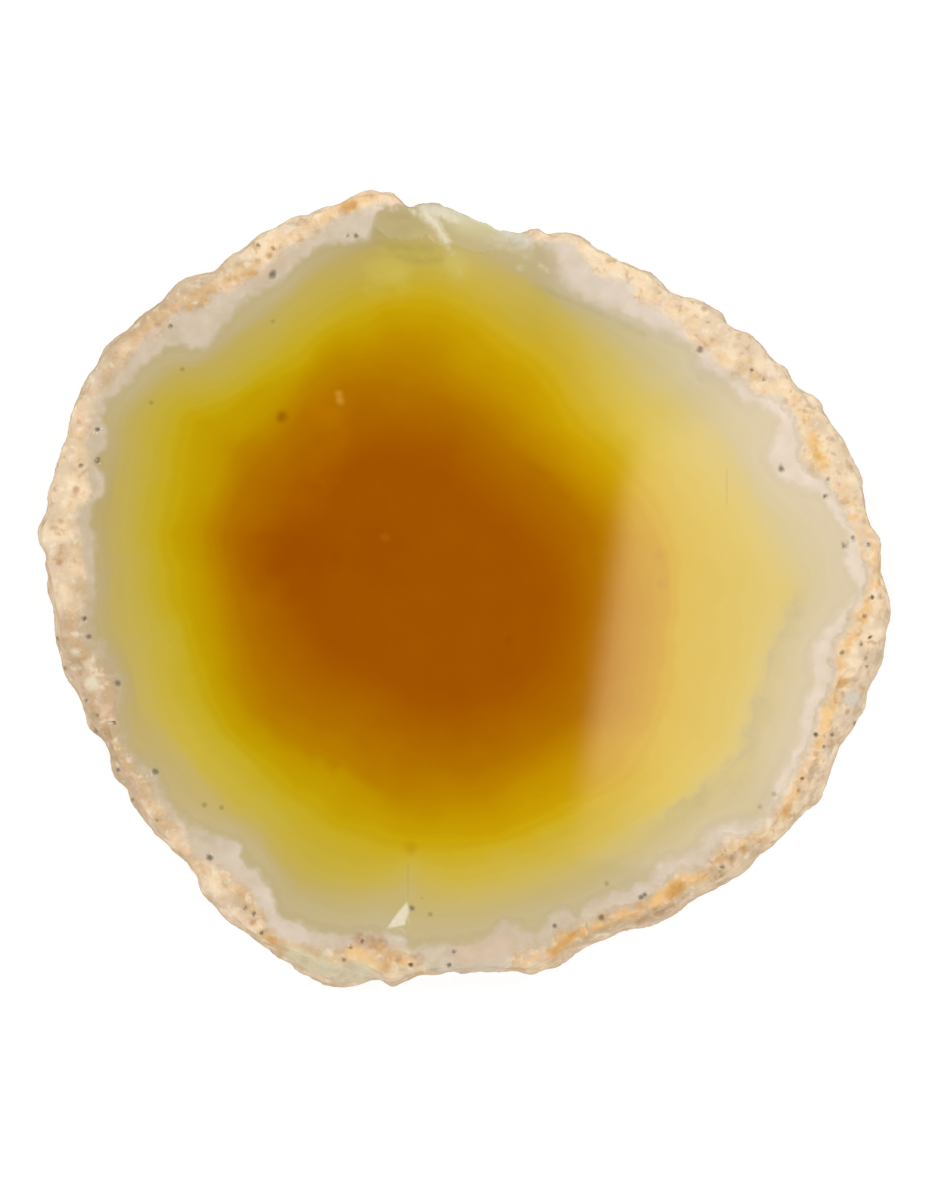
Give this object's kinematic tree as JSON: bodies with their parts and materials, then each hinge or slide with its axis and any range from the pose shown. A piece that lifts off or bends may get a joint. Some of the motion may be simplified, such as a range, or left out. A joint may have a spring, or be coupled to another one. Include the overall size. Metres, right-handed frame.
{
  "type": "agate slice",
  "caption": "Polished agate slice with an amber core, yellow bands and a rough natural rind, lying flat as a coaster or display stone.",
  "frame": {"origin": "middle of the slice's width and depth, on its lower sawn face", "axes": "+X across the slice's longest width, +Y up the polished face as pictured, +Z out of the polished face"},
  "size_m": [0.1012, 0.0948, 0.005],
  "materials": {
    "agate": "polished flat faces, rough natural rind"
  },
  "bodies": {
    "root": {"agate_slice": "agate"}
  },
  "joints": []
}
